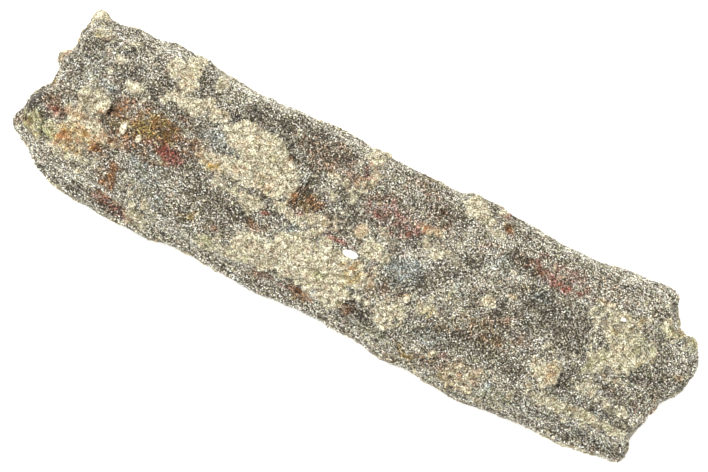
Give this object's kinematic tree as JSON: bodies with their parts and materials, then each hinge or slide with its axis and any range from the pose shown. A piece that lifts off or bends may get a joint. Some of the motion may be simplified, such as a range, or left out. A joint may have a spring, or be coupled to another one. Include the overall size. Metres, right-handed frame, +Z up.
{
  "type": "petrified wood section",
  "caption": "Broken length of petrified wood with a sparkling crystal coat and raised cream crusts, lying on its split underside as a display specimen.",
  "frame": {"origin": "centre of the bounding box's lowest face, on the plane that the stone rests on", "axes": "+X along the wood grain, from the pointed end to the lobed end; +Y across, towards the long edge with the notched upper corner; +Z up from the resting plane"},
  "size_m": [0.1802, 0.05, 0.0282],
  "materials": {
    "stone": "matte",
    "crust": "matte",
    "druse": "satin"
  },
  "bodies": {
    "root": {"petrified_wood": "stone"}
  },
  "joints": []
}
